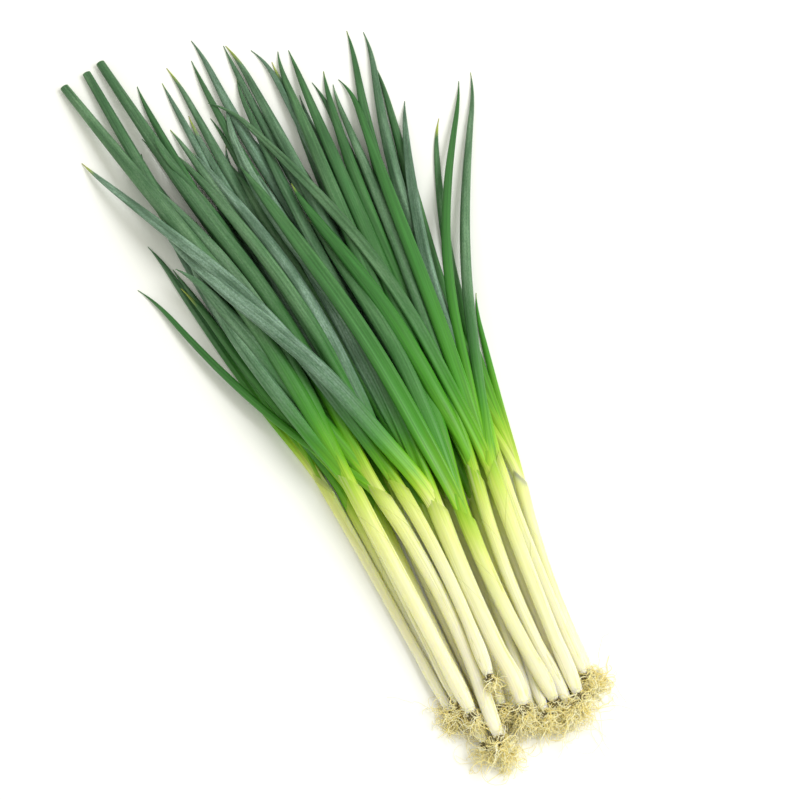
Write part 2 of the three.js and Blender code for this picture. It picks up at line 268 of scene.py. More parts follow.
# %% [markdown]
# ## A tube blank
# Shafts, leaves and roots are all long, thin and hollow or nearly so, and each starts as the same blank:
# a cylinder standing on the origin, one unit in radius, whose long edges are subdivided into rings.
# What makes it a shaft, a leaf or a root is then done to the blank in edit mode. Faces and corners are
# selected by their place, as with a click or a box in the window.


# %% Blanks
def select(condition):
    """In edit mode, selects the corners whose place meets the condition, and what lies between them."""
    bpy.ops.mesh.select_mode(type="VERT")
    mesh = bmesh.from_edit_mesh(bpy.context.edit_object.data)
    for corner in mesh.verts:
        corner.select = bool(condition(corner.co))
    mesh.select_flush_mode()
    bmesh.update_edit_mesh(bpy.context.edit_object.data)


def tube_blank(name, sides, rings, length):
    """A closed cylinder of radius 1 along +Z from the origin, left in edit mode."""
    bpy.ops.mesh.primitive_cylinder_add(vertices=sides, radius=1, depth=length, end_fill_type="NGON")
    blank = bpy.context.object
    blank.name = name
    bpy.ops.object.mode_set(mode="EDIT")
    bpy.ops.transform.translate(value=(0, 0, length / 2))
    bpy.ops.mesh.select_mode(type="EDGE")
    mesh = bmesh.from_edit_mesh(blank.data)
    for face in mesh.faces:
        face.select = False
    for edge in mesh.edges:
        edge.select = abs(edge.verts[0].co.z - edge.verts[1].co.z) > length / 2
    bmesh.update_edit_mesh(blank.data)
    bpy.ops.mesh.subdivide(number_cuts=rings - 1)
    return blank


def leave_edit_mode(blank, sharp_from):
    """Ends the shaping: smooth shading, but for edges sharper than that angle, in degrees."""
    bpy.ops.object.mode_set(mode="OBJECT")
    bpy.ops.object.shade_smooth_by_angle(angle=math.radians(sharp_from))
    print(blank.name + ":", len(blank.data.vertices), "corners,", len(blank.data.polygons), "faces")


def corners_of(mesh):
    """The corners of a mesh as an array of x, y, z."""
    flat = np.empty(3 * len(mesh.vertices))
    mesh.vertices.foreach_get("co", flat)
    return flat.reshape(-1, 3)


# %% [markdown]
# ## Laying a blank along a strand
# In the window a Curve modifier could bend each blank. Here every section has its own radius and stays
# pressed flat under the pile, so the bend is worked out directly: a smooth line through the sections of
# the strand, with a side that is level and a top that is square to both. A corner of the blank at height
# z goes to that share of the line. What the finish needs to know later is kept as attributes: how far
# each corner is from the neck and from the two ends of its strand, and where it would be on the unbent
# blank, which is where the grain of the plant runs dead straight.

# %% Smooth lines
FINE = 160  # stations of a smooth line


def evened(strand, plan_rounds, height_rounds):
    """The strand with its jolts evened out: in each round a section moves half-way to its neighbours."""
    strand = strand.copy()
    for columns, rounds in ((slice(0, 2), plan_rounds), (2, height_rounds)):
        for _ in range(rounds):
            halfway = (strand[:-2, columns] + strand[2:, columns]) / 2
            strand[1:-1, columns] = (strand[1:-1, columns] + halfway) / 2
    return strand


def straightened(strand, share):
    """The strand, drawn by that share of the way towards the plain arc that lies nearest to it."""
    steps = np.linalg.norm(np.diff(strand[:, :3], axis=0), axis=1)
    knots = np.append(0, np.cumsum(steps))
    bend, slope, start = np.polyfit(knots, strand[:, :3], 2)
    arc = bend * knots[:, None] ** 2 + slope * knots[:, None] + start
    strand = strand.copy()
    strand[:, :3] += share * (arc - strand[:, :3])
    return strand


def smooth(strand, stations=FINE):
    """A smooth line through the sections, as stations of x, y, z, radius, and their distances along it."""
    steps = np.linalg.norm(np.diff(strand[:, :3], axis=0), axis=1)
    knots = np.append(0, np.cumsum(steps))
    slopes = np.gradient(strand, knots, axis=0)
    places = np.linspace(0, knots[-1], stations)
    i = np.clip(np.searchsorted(knots, places, "right") - 1, 0, len(knots) - 2)
    span = (knots[i + 1] - knots[i])[:, None]
    t = ((places - knots[i]) / span[:, 0])[:, None]
    line = (
        (1 + 2 * t) * (1 - t) ** 2 * strand[i]
        + t * (1 - t) ** 2 * span * slopes[i]
        + t * t * (3 - 2 * t) * strand[i + 1]
        + t * t * (t - 1) * span * slopes[i + 1]
    )
    return line, places


def sections_at(line, places, distances):
    """The sections of a smooth line at those distances along it."""
    return np.column_stack([np.interp(distances, places, column) for column in line.T])


# %% Laying
GRAIN_SHIFT = 7.3  # makes the grain of each copy start somewhere else


def keep(mesh, **attributes):
    """Keeps a number, or three, for every corner of the mesh, under each name."""
    for name, values in attributes.items():
        values = np.asarray(values, dtype=np.float32)
        kind = "FLOAT" if values.ndim == 1 else "FLOAT_VECTOR"
        made = mesh.attributes.new(name, kind, "POINT")
        made.data.foreach_set("value" if values.ndim == 1 else "vector", values.ravel())


def lay(blank, strand, shape=None, neck=0.0, turn=0.0, twist=0.0, pressed=PRESSED, **whole):
    """A copy of the blank, bent along the strand.

    shape: corners to take instead of the blank's. neck: how far along the strand the neck lies. turn and
    twist: how the blank is turned at its start, and how much further at its end. whole: numbers that are
    kept for the finish, the same over the whole copy.
    """
    line, places = smooth(strand)
    ahead = np.gradient(line[:, :3], axis=0)
    ahead /= np.linalg.norm(ahead, axis=1)[:, None]
    side = np.column_stack([-ahead[:, 1], ahead[:, 0], np.zeros(len(line))])
    side /= np.linalg.norm(side, axis=1)[:, None]
    top = np.cross(ahead, side)
    unbent = corners_of(blank.data) if shape is None else shape
    along = unbent[:, 2] / unbent[:, 2].max() * places[-1]
    centre = sections_at(line, places, along)
    radius = centre[:, 3]
    angle = turn + twist * along / places[-1]
    x = radius * (unbent[:, 0] * np.cos(angle) - unbent[:, 1] * np.sin(angle))
    y = radius * (unbent[:, 0] * np.sin(angle) + unbent[:, 1] * np.cos(angle))
    bent = centre[:, :3] + x[:, None] * sections_at(side, places, along)
    bent += pressed * y[:, None] * sections_at(top, places, along)
    bent[:, 2] = np.maximum(bent[:, 2], 0)
    copy = blank.copy()
    copy.data = blank.data.copy()
    bpy.context.collection.objects.link(copy)
    copy.data.vertices.foreach_set("co", bent.ravel())
    copy.data.update()
    start = GRAIN_SHIFT * (strand[0, 0] + strand[-1, 0])
    keep(
        copy.data,
        from_neck=(along - neck) / MM,
        from_foot=along / MM,
        from_end=(places[-1] - along) / MM,
        grain=np.column_stack([radius[:, None] * unbent[:, :2], along + start]) / MM,
        **{name: np.full(len(bent), value) for name, value in whole.items()},
    )
    return copy


def join(name, copies, replaced):
    """Makes one piece of the copies, which stands for a node of the frame."""
    bpy.ops.object.select_all(action="DESELECT")
    for copy in copies:
        copy.select_set(True)
    bpy.context.view_layer.objects.active = copies[0]
    bpy.ops.object.join()
    piece = bpy.context.object
    piece.name = name
    piece.data.name = name
    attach(piece, "root")
    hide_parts(replaced)
    return piece

# %% [markdown]
# ## The tissue
# The whole plant is one tissue. What grew under soil, in the dark, is blanched: creamy white at the foot
# and tinted with yellow further up. Round the neck it turns yellow-green, and what stood in the light is
# green. The change follows the veins, so its edge is ragged. Shaft and leaves take their colour from the
# same ramp, over the distance from the neck, so that none of them ends in a hard edge. Veins run the whole
# length. Real ones are finer than they are drawn here, where they have to be coarse enough to show.

# %% Tissue
VEIN = 0.7  # mm from one vein to the next
STREAK = 1.7  # mm, the width of a streak of deeper or paler tissue
RUN = 45.0  # mm, how long a streak keeps its course
RAGGED = 32.0  # mm, how far the edge of the green runs up and down between streaks
TISSUE = [  # mm from the neck, and the colour there
    (-170, "#f5efdd"),
    (-110, "#f1ecce"),
    (-60, "#ebebbe"),
    (-30, "#dfe696"),
    (-16, "#c1d65a"),
    (-5, "#98c32b"),
    (8, "#67a81b"),
    (36, "#428e1a"),
    (80, "#337428"),
    (190, "#2e6431"),
]
BLANCHED_FROM = TISSUE[0][0]
GREEN_FROM = TISSUE[-1][0]


def streaks_of(material, width, run, detail=2.0):
    """Soft streaks that run with the grain, that many mm wide and long, as numbers round 0.5."""
    grain = add(material, "Attribute", settings={"attribute_name": "grain"}, out="Vector")
    place = add(material, "Mapping", {"Vector": grain, "Scale": (1 / width, 1 / width, 1 / run)})
    return add(material, "TexNoise", {"Vector": place, "Scale": 1.0, "Detail": detail})


def tissue_of(material, streaks, from_neck):
    """How grown the tissue is, in mm from the neck with ragged edges, and its colour."""
    ragged = add(material, "Math", {0: streaks, 1: RAGGED, 2: -RAGGED / 2}, TIMES_PLUS)
    grown = add(material, "Math", {0: from_neck, 1: ragged}, PLUS)
    reach = {"Value": grown, "From Min": BLANCHED_FROM, "From Max": GREEN_FROM}
    share = add(material, "MapRange", reach)
    span = GREEN_FROM - BLANCHED_FROM
    stops = [((place - BLANCHED_FROM) / span, colour) for place, colour in TISSUE]
    return grown, add(material, "ValToRGB", {"Fac": share}, stops=stops)


# %% [markdown]
# ## The finish of the leaves
# A leaf is a hollow tube of soft green tissue under a waxy cuticle. The wax gives old leaves their
# blue-grey bloom. Hands have rubbed it off in streaks, where darker and glossier green shows. Young leaves
# and the part near the neck have no bloom yet. The tips of many leaves have turned yellow, and the
# very end is dry and brown.

# %% Waxy leaf
DEEPEST = "#1f4a2b"  # old tissue under rubbed wax
YOUNG_BLOOM = "#92b57d"
OLD_BLOOM = "#8fac9b"
BLOOM_MOST = 0.9  # share of the green that the thickest bloom covers
YELLOWED = "#9fae48"
WITHERED = "#9a8550"
YELLOWING = 9.0  # mm over which green turns yellow
UNEVEN = 22.0  # mm, how far the edge of the yellow runs up and down between streaks
MOTTLE = (0.5, 1.4)  # mm, width and length of the specks in the bloom

wax = new_material("waxy leaf cuticle")
tone = add(wax, "Attribute", settings={"attribute_name": "tone"}, out="Fac")
dried = add(wax, "Attribute", settings={"attribute_name": "dried"}, out="Fac")
unworn = add(wax, "Attribute", settings={"attribute_name": "unworn"}, out="Fac")
from_end = add(wax, "Attribute", settings={"attribute_name": "from_end"}, out="Fac")
from_neck = add(wax, "Attribute", settings={"attribute_name": "from_neck"}, out="Fac")
veins = streaks_of(wax, VEIN, 4 * RUN, 1.0)
streaks = streaks_of(wax, STREAK, RUN, 3.0)
patches = streaks_of(wax, 3 * STREAK, 0.5 * RUN)
mottles = streaks_of(wax, *MOTTLE, 3.0)

# An old leaf is further on than a young one at the same distance from the neck.
pace = add(wax, "MapRange", {"Value": tone, "To Min": 0.6, "To Max": 1.5})
further = add(wax, "Math", {0: from_neck, 1: pace}, TIMES)
grown, green = tissue_of(wax, streaks, further)
deep = add(wax, "MapRange", {"Value": grown, "From Min": 20, "From Max": 110, "To Max": 0.85})
deep = add(wax, "Math", {0: deep, 1: tone}, TIMES)
green = add(wax, "Mix", {SHARE: deep, UNDER: green, OVER: srgb(DEEPEST)}, COLOURS, out=MIXED)

# The bloom is a thin film of wax crystals. It is thickest on old leaves, far from the neck, and thinner
# where a streak was rubbed, where a patch was touched, and between the specks.
age = {"Value": tone, "From Min": 0.15, "From Max": 0.9, "To Min": 0.05, "To Max": BLOOM_MOST}
film = add(wax, "MapRange", age)
# Painted shade: the leaves of the lower row keep less of their pale bloom, so that they look darker, as if
# the upper row shaded them.
film = add(wax, "Math", {0: film, 1: unworn}, TIMES)
out_of_sheath = {"Value": grown, "From Min": 25, "From Max": 120}
unrubbed = {"Value": streaks, "From Min": 0.36, "From Max": 0.58, "To Min": 0.65}
untouched = {"Value": patches, "From Min": 0.34, "From Max": 0.6, "To Min": 0.5}
mottled = {"Value": mottles, "From Min": 0.32, "From Max": 0.62, "To Min": 0.45}
for stays in (out_of_sheath, unrubbed, untouched, mottled):
    stays = add(wax, "MapRange", stays)
    film = add(wax, "Math", {0: film, 1: stays}, TIMES)
blooms = {SHARE: tone, UNDER: srgb(YOUNG_BLOOM), OVER: srgb(OLD_BLOOM)}
bloom = add(wax, "Mix", blooms, COLOURS, out=MIXED)
bloomed = add(wax, "Mix", {SHARE: film, UNDER: green, OVER: bloom}, COLOURS, out=MIXED)

# Dry ends: yellow over the length that is kept for each leaf, brown over the last of it.
uneven = add(wax, "Math", {0: patches, 1: UNEVEN, 2: -UNEVEN / 2}, TIMES_PLUS)
reached = add(wax, "Math", {0: dried, 1: uneven}, PLUS)
inside = add(wax, "Math", {0: reached, 1: from_end}, LESS)
yellow = add(wax, "MapRange", {"Value": inside, "From Min": 0, "From Max": YELLOWING})
brown = add(wax, "MapRange", {"Value": inside, "From Min": YELLOWING, "From Max": 2 * YELLOWING})
tipped = add(wax, "Mix", {SHARE: yellow, UNDER: bloomed, OVER: srgb(YELLOWED)}, COLOURS, out=MIXED)
tipped = add(wax, "Mix", {SHARE: brown, UNDER: tipped, OVER: srgb(WITHERED)}, COLOURS, out=MIXED)

# Veins and streaks are also a little paler and darker. Bare green shines more than wax does.
vein_light = {"Value": veins, "From Min": 0.3, "From Max": 0.7, "To Min": 0.8, "To Max": 1.22}
vein_light = add(wax, "MapRange", vein_light)
streak_light = {"Value": streaks, "From Min": 0.3, "From Max": 0.7, "To Min": 0.86, "To Max": 1.12}
streak_light = add(wax, "MapRange", streak_light)
lightness = add(wax, "Math", {0: vein_light, 1: streak_light}, TIMES)
lined = add(wax, "HueSaturation", {"Value": lightness, "Color": tipped})
raised = add(wax, "Bump", {"Height": veins, "Strength": 0.5, "Distance": 0.12 * MM})
dull = add(wax, "MapRange", {"Value": film, "From Max": 0.6, "To Min": 0.42, "To Max": 0.6})
leaf_finish = {
    "Base Color": lined,
    "Roughness": dull,
    "IOR": 1.42,
    "Normal": raised,
    "Subsurface Weight": 0.07,
    "Subsurface Radius": (0.6, 1.0, 0.2),
    "Subsurface Scale": 1.5 * MM,
}
leaf_shader = add(wax, "BsdfPrincipled", leaf_finish)
add(wax, "OutputMaterial", {"Surface": leaf_shader})
print(wax.name + ":", len(wax.node_tree.nodes), "nodes")

# %% [markdown]
# ## The finish of the shafts
# The outer sheath is smooth, moist and slightly see-through, so light travels a few millimetres into
# it. That softens and warms its shadows. Less of it does so near the neck, because the piece ends in a
# thin rim there, which a wide spread of light would turn grey. Fine lines along it are the edges of the
# sheaths below. A little soil has stained the foot.

# %% Blanched sheath
TINT = "#dedf9b"  # streaks where the next sheath shows through
SEAM = "#b9bd62"
SEAM_SHOWS = 0.35  # share of the colour under it that a seam covers
SHEATH_EDGE = "#a9ae56"  # where the outermost sheath ends
EDGE_SLANT = 2.6  # how steeply that edge runs round the shaft
EDGE = 0.35  # mm, half its width
STAIN = "#8a7a4a"
SOILED = 7  # mm up from the foot
SPECK = (1.0, 1.3)  # mm, width and length of a speck of soil

sheath = new_material("blanched sheath")
from_neck = add(sheath, "Attribute", settings={"attribute_name": "from_neck"}, out="Fac")
from_foot = add(sheath, "Attribute", settings={"attribute_name": "from_foot"}, out="Fac")
veins = streaks_of(sheath, VEIN, 6 * RUN, 1.0)
streaks = streaks_of(sheath, STREAK, 2 * RUN, 3.0)
seams = streaks_of(sheath, 1.6 * STREAK, 8 * RUN, 0.0)
_, blanched = tissue_of(sheath, streaks, from_neck)
seam = add(sheath, "Math", {0: seams, 1: 0.5, 2: 0.012}, {"operation": "COMPARE"})
seam = add(sheath, "Math", {0: seam, 1: SEAM_SHOWS}, TIMES)
tint = add(sheath, "MapRange", {"Value": streaks, "From Min": 0.5, "From Max": 0.66, "To Max": 0.5})
tinted = add(sheath, "Mix", {SHARE: tint, UNDER: blanched, OVER: srgb(TINT)}, COLOURS, out=MIXED)
seamed = add(sheath, "Mix", {SHARE: seam, UNDER: tinted, OVER: srgb(SEAM)}, COLOURS, out=MIXED)

# The outermost sheath ends part of the way up, in a thin slanting edge.
grain = add(sheath, "Attribute", settings={"attribute_name": "grain"}, out="Vector")
across = add(sheath, "SeparateXYZ", {"Vector": grain})
sheath_end = add(sheath, "Attribute", settings={"attribute_name": "sheath_end"}, out="Fac")
slanting = add(sheath, "Math", {0: across, 1: EDGE_SLANT, 2: sheath_end}, TIMES_PLUS)
past = add(sheath, "Math", {0: from_foot, 1: slanting}, LESS)
step = {"Value": past, "From Min": -EDGE, "From Max": EDGE, "To Min": 1, "To Max": 0}
step = add(sheath, "MapRange", step)
bare = add(sheath, "Math", {0: past, 1: 0}, {"operation": "GREATER_THAN"})
edge = add(sheath, "MapRange", {"Value": past, "From Min": 2 * EDGE, "From Max": EDGE, "To Max": 0.5})
edge = add(sheath, "Math", {0: edge, 1: bare}, TIMES)
edged = add(sheath, "Mix", {SHARE: edge, UNDER: seamed, OVER: srgb(SHEATH_EDGE)}, COLOURS, out=MIXED)

# Soil is left in specks, fewer and fewer away from the foot.
specks = streaks_of(sheath, *SPECK, 4.0)
near_foot = {"Value": from_foot, "From Min": SOILED, "From Max": 0, "To Min": -0.3, "To Max": 0.1}
near_foot = add(sheath, "MapRange", near_foot)
soil = add(sheath, "Math", {0: specks, 1: near_foot}, PLUS)
soil = add(sheath, "MapRange", {"Value": soil, "From Min": 0.62, "From Max": 0.74, "To Max": 0.6})
soiled = add(sheath, "Mix", {SHARE: soil, UNDER: edged, OVER: srgb(STAIN)}, COLOURS, out=MIXED)
vein_light = {"Value": veins, "From Min": 0.3, "From Max": 0.7, "To Min": 0.93, "To Max": 1.04}
vein_light = add(sheath, "MapRange", vein_light)
lined = add(sheath, "HueSaturation", {"Value": vein_light, "Color": soiled})
raised = add(sheath, "Bump", {"Height": veins, "Strength": 0.3, "Distance": 0.1 * MM})
raised = add(sheath, "Bump", {"Height": step, "Strength": 0.8, "Distance": 0.3 * MM, "Normal": raised})
solid = {"Value": from_neck, "From Min": -30, "From Max": -6, "To Min": 0.95, "To Max": 0.2}
solid = add(sheath, "MapRange", solid)
sheath_finish = {
    "Base Color": lined,
    "Roughness": 0.45,
    "IOR": 1.4,
    "Normal": raised,
    "Subsurface Weight": solid,
    "Subsurface Radius": (1.0, 0.95, 0.25),
    "Subsurface Scale": 5 * MM,
}
sheath_shader = add(sheath, "BsdfPrincipled", sheath_finish)
add(sheath, "OutputMaterial", {"Surface": sheath_shader})
print(sheath.name + ":", len(sheath.node_tree.nodes), "nodes")

# %% [markdown]
# ## The finish of the roots
# Roots are matt, straw-coloured threads. The crown that they grow from is a corky brown plate, and damp
# soil still clings to it.

# %% Roots, crown and soil
STRAWS = [(0.0, "#e6d07c"), (0.3, "#ffefa8"), (1.0, "#fffbd6")]
SOILS = [(0.0, "#35321f"), (0.5, "#6a6140"), (1.0, "#bba970")]
THREAD_GRAIN = (0.8, 6.0)  # mm, width and length
LUMP = (0.7, 0.9)  # mm, width and length of a crumb of soil

thread = new_material("dry root fibre")
tone = add(thread, "Attribute", settings={"attribute_name": "tone"}, out="Fac")
shade = streaks_of(thread, *THREAD_GRAIN)
shade = add(thread, "Math", {0: shade, 1: tone}, PLUS)
shade = add(thread, "MapRange", {"Value": shade, "From Min": 0.4, "From Max": 1.3})
straw = add(thread, "ValToRGB", {"Fac": shade}, stops=STRAWS)
thread_finish = {
    "Base Color": straw,
    "Roughness": 0.7,
    "Subsurface Weight": 0.3,
    "Subsurface Radius": (1.0, 0.85, 0.4),
    "Subsurface Scale": 0.6 * MM,
}
thread_shader = add(thread, "BsdfPrincipled", thread_finish)
add(thread, "OutputMaterial", {"Surface": thread_shader})

cork = new_material("corky crown with soil")
lumps = streaks_of(cork, *LUMP, 4.0)
lumpy = add(cork, "MapRange", {"Value": lumps, "From Min": 0.35, "From Max": 0.65})
soiled = add(cork, "ValToRGB", {"Fac": lumpy}, stops=SOILS)
raised = add(cork, "Bump", {"Height": lumps, "Strength": 0.8, "Distance": 0.4 * MM})
crown_shader = add(cork, "BsdfPrincipled", {"Base Color": soiled, "Roughness": 0.95, "Normal": raised})
add(cork, "OutputMaterial", {"Surface": crown_shader})
print("materials:", [material.name for material in bpy.data.materials if material.users])

# %% [markdown]
# ## The shaft
# The foot of a shaft is rounded, which a bevel round the end of the blank gives. At the neck the outer
# sheath ends in a slanting rim, lowest on the side away from the leaf that it carries. The last stretch
# is extruded from the end without rings, then turned and stretched until its rim slants, and the rim is
# folded inwards over the younger leaves.

# %% Shaft blank
SHAFT_LENGTH = 40  # in radii; the highest point of the rim lies just below
RINGED = SHAFT_LENGTH - 4  # how far up it has rings
RIM_AT = SHAFT_LENGTH - 2  # the middle of the rim
RIM_SLANT = math.radians(45)
RIM_STRETCH = (1.41, 1, 2.4)  # makes the turned rim round again from above, and steeper
RIM_FOLD = 0.84  # size of the inner edge of the rim over the outer
FOOT_ROUNDING = 0.7  # in radii
HAIR = 0.01  # margin for selecting what lies at a height

shaft_blank = tube_blank("shaft blank", sides=32, rings=54, length=RINGED)
select(lambda place: place.z < HAIR)
bpy.ops.mesh.bevel(offset=FOOT_ROUNDING, segments=5, affect="EDGES")
select(lambda place: place.z > RINGED - HAIR)
bpy.ops.mesh.extrude_region_move(TRANSFORM_OT_translate={"value": (0, 0, RIM_AT - RINGED)})
bpy.ops.transform.rotate(value=RIM_SLANT, orient_axis="Y", center_override=(0, 0, RIM_AT))
bpy.ops.transform.resize(value=RIM_STRETCH, center_override=(0, 0, RIM_AT))
bpy.ops.mesh.extrude_region_move(TRANSFORM_OT_translate={"value": (0, 0, 0)})
bpy.ops.transform.resize(value=(RIM_FOLD, RIM_FOLD, RIM_FOLD), center_override=(0, 0, RIM_AT))
bpy.ops.mesh.extrude_region_move(TRANSFORM_OT_translate={"value": (0, 0, -1)})
leave_edit_mode(shaft_blank, sharp_from=50)
shaft_blank.data.materials.append(sheath)

# %% [markdown]
# ## The leaves
# A leaf is a long hollow tube that swells out of the sheath and runs out to a point. As it wilts it
# collapses along one side, or folds into a keel. So a crease is pressed into the blank: the line of
# corners along its top is pulled down, and proportional editing takes the corners beside it along. A keel
# is pulled out of its side in the same way. All the shapes are kept, and each copy later takes its own
# share of crease and keel. Three leaves were trimmed at the shop. Their blank has a square end whose face
# is inset and pushed in, so that it is hollow.

# %% Leaf blanks
LEAF_LENGTH = 60  # of the blank, in radii
WILTED = (7, 54)  # where the crease and the keel start and end
OUTERMOST = 0.97  # only the corners of one line lie further out than this
CREASE = {"move": (0, -0.6, 0), "reach": 0.9}  # in radii
KEEL = {"move": (0.2, 0, 0), "reach": 0.6}
CUT_OPENING = 0.78  # of the square end's radius
CUT_DEPTH = 2.5  # in radii


def pulled(line, move, reach):
    """The corners of the blank after the line of corners is moved and takes its neighbours along."""
    select(lambda place: line(place) and WILTED[0] < place.z < WILTED[1])
    bpy.ops.transform.translate(
        value=move,
        use_proportional_edit=True,
        proportional_edit_falloff="SMOOTH",
        proportional_size=reach,
    )
    bpy.ops.object.mode_set(mode="OBJECT")
    moved = corners_of(bpy.context.object.data)
    bpy.ops.object.mode_set(mode="EDIT")
    return moved


def leaf_shapes():
    """The corners of a leaf blank in edit mode: plump, then how far a crease and a keel move them."""
    bpy.ops.object.mode_set(mode="OBJECT")
    plump = corners_of(bpy.context.object.data)
    bpy.ops.object.mode_set(mode="EDIT")
    creased = pulled(lambda place: place.y > OUTERMOST, **CREASE)
    keeled = pulled(lambda place: place.x > OUTERMOST, **KEEL)
    return plump, creased - plump, keeled - creased


pointed_blank = tube_blank("leaf blank", sides=24, rings=84, length=LEAF_LENGTH)
pointed_shapes = leaf_shapes()
leave_edit_mode(pointed_blank, sharp_from=60)
pointed_blank.data.materials.append(wax)

cut_blank = tube_blank("cut leaf blank", sides=24, rings=84, length=LEAF_LENGTH)
select(lambda place: place.z > LEAF_LENGTH - HAIR)
bpy.ops.mesh.extrude_region_move(TRANSFORM_OT_translate={"value": (0, 0, 0)})
bpy.ops.transform.resize(value=(CUT_OPENING, CUT_OPENING, 1), center_override=(0, 0, LEAF_LENGTH))
bpy.ops.mesh.extrude_region_move(TRANSFORM_OT_translate={"value": (0, 0, -CUT_DEPTH)})
cut_shapes = leaf_shapes()
leave_edit_mode(cut_blank, sharp_from=50)
cut_blank.data.materials.append(wax)

# %% [markdown]
# ## Setting the leaves into the shaft
# The leaves of a spring onion are rolled into each other. The outermost one leaves the roll first, to
# one side, the next a little further up, and the youngest goes straight on. So every leaf starts inside
# the shaft, on its axis, a little thinner than the leaf round it, and parts from the axis at its own
# height. From there a smooth line takes it to the first section that the frame gives it. Its tip is
# filled out, because the frame's last stretch is a plain spike, and it hooks a little to one side.

# %% Leaf lines
RIM_AHEAD = 4 * MM  # the slanting rim reaches this far past the neck
RIM_THINNER = 0.98  # its radius over that of the neck
INSIDE = np.array([30, 20, 10, 0]) * MM  # sections on the axis, below where a leaf parts from it
FIRST_PARTING = -6 * MM  # past the neck
PARTING_STEP = 3 * MM
INSIDE_RADIUS = 0.84  # a leaf's radius over the shaft's, as far as it lies inside
THINNER = 0.04  # share of the shaft's radius by which each leaf is thinner than the one round it
PLAN_SMOOTHING = 3  # rounds
HEIGHT_SMOOTHING = 4
# Share of the way to the tip, and of the radius that is left there.
TIP_FILLING = [(0.3, 0.84), (0.55, 0.62), (0.78, 0.36), (0.92, 0.15), (1, 0)]
LEAF_POINT = 0.2 * MM  # radius of the tip
HOOK = 3 * MM  # how far a tip turns aside, as a typical value
CUT_THINNER = (0.9, 0.8, 0.72)  # the last three radii of a cut leaf, which collapses where it was cut


def lean(leaf, neck, ahead):
    """How far a leaf leans to the left of the shaft's axis, over how far it goes ahead."""
    out = leaf[0, :3] - neck
    return (ahead[0] * out[1] - ahead[1] * out[0]) / out.dot(ahead)


def rooted_leaf(leaf, axis, places, order):
    """The leaf from its start inside the shaft, whose smooth line is axis, and how far on the neck is."""
    neck = places[-1] - RIM_AHEAD
    parting = FIRST_PARTING + PARTING_STEP * order
    base = sections_at(axis, places, neck + parting - INSIDE)
    base[:, 3] *= INSIDE_RADIUS - THINNER * order
    free = evened(np.vstack([base[-1], leaf]), PLAN_SMOOTHING, HEIGHT_SMOOTHING)
    return np.vstack([base[:-1], free]), INSIDE[0] - parting


def filled_tip(strand, hook):
    """The strand with a full tip in place of its last spike, hooked to the left by that much."""
    last = strand[-2]
    rest = strand[-1] - last
    left = np.array([-rest[1], rest[0]]) / np.linalg.norm(rest[:2])
    filled = []
    for way, fullness in TIP_FILLING:
        place = last + way * rest
        place[:2] += hook * way**3 * left
        place[3] = max(fullness * last[3], LEAF_POINT)
        filled.append(place)
    return np.vstack([strand[:-1], *filled])


# %% Plants
SEED = 11
GREENER = (-16 * MM, 4 * MM)  # how much further down a plant turns green than at its neck
BLEACHED = {"07": -26 * MM}  # and that of a plant with yellowed bases
SHADED = (-8 * MM, 14 * MM)  # how much further up a leaf turns green than the sheath that hid it
ARCED = 0.6  # how far the jolts of a shaft are drawn out of it
LOWER_ROW = 14  # the plants that were laid down first, up to this one
PLUMPER = 1.12  # radius of their shafts over the frame's; they fill the gaps of the upper row
PLUMP = 1.02  # and that of the others, since the sides of the frame's tubes are flat
BLUNT = 0.74  # radius of a shaft's foot over the radius just above it
LOOSE_TO = (0.45, 0.95)  # share of the shaft where its outermost sheath ends
BROAD = 4.9 * MM  # a leaf with this radius or more has opened flat, and is young
BROAD_THINNER = 0.86  # radius of such a leaf over the frame's
SLENDER = 2.4 * MM  # one with less than this is young too
YOUNG = {"07": 0.4, "18": 0.3, "19": 0.35, "20": 0.4}  # plants with young leaves, and their tone
OLD = 0.7  # the tone of the others
TONE_SPREAD = 0.22
TONES = (0, 0.92)  # the least and the most that a leaf may have
YOUNG_TONE = 0.25  # of broad and slender leaves
CUT_TONE = 0.5  # of trimmed leaves
CREASED = (-0.5, 1)  # share of the crease that a leaf takes; below 0 there is none
KEELED = (-1, 1)
TURNED = (-1.2, 1.2)  # radians
TWISTED = (-1, 1)  # radians
FLATTENED = (0.85, 1)  # height of a leaf over that of other sections
BROAD_TURNED = 0.2  # a leaf that has opened flat lies level: share of the turn that it takes,
BROAD_TWISTED = 0.3  # share of the twist,
BROAD_FLATTENED = 0.7  # and its height
BLOOM_KEPT_IN_PAINTED_SHADE = 0.7  # painted shade: the share of their bloom that the plants of the lower row keep, so that their leaves look darker, as if the upper row shaded them
DRIED = [-20, -8, 0, 6, 13]  # mm of a leaf's tip, as drawn for each

